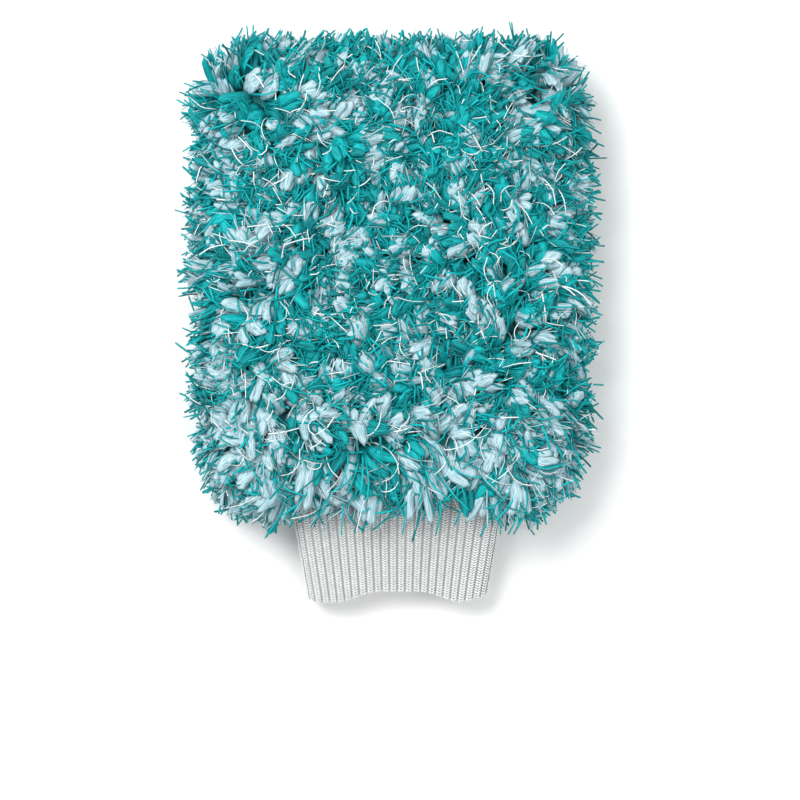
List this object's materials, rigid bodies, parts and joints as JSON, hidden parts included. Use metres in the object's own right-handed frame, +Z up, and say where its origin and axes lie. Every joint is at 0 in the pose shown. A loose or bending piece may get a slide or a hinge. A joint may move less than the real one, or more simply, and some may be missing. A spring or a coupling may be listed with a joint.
{
  "type": "wash mitt",
  "caption": "Plush hand mitt for washing bodywork: long pile on both faces, a lined hand pocket and a folded rib-knit wrist cuff.",
  "frame": {"origin": "on the surface the mitt lies on, under the middle of its overall length and width", "axes": "+Y from the cuff towards the finger end, +X across the width to the right seen from above, +Z up out of the front face"},
  "size_m": [0.19, 0.2688, 0.0498],
  "materials": {
    "plush_pile": "soft, teal and pale blue-grey fibres mixed",
    "base_cloth": "knitted ground, matt",
    "foam": "open-cell foam, matt",
    "lining": "smooth knitted lining",
    "thread": "overlock thread",
    "rib_knit": "rib knit, soft",
    "elastic": "covered elastic thread"
  },
  "bodies": {
    "mitt": {"front_pile": "plush_pile", "back_pile": "plush_pile", "front_base_cloth": "base_cloth", "back_base_cloth": "base_cloth", "front_foam": "foam", "back_foam": "foam", "front_lining": "lining", "back_lining": "lining", "shell_seam": "thread", "lining_seam": "thread", "mouth_seam": "thread"},
    "cuff": {"cuff": "rib_knit", "cuff_elastic": "elastic"}
  },
  "joints": [
    {"name": "cuff_flex", "type": "hinge", "parent": "mitt", "child": "cuff", "pos_m": [0.003, -0.07467, 0.0229], "axis": [-1, 0, 0], "range_deg": [-12, 45], "stiffness_Nm_per_rad": 0.03}
  ]
}
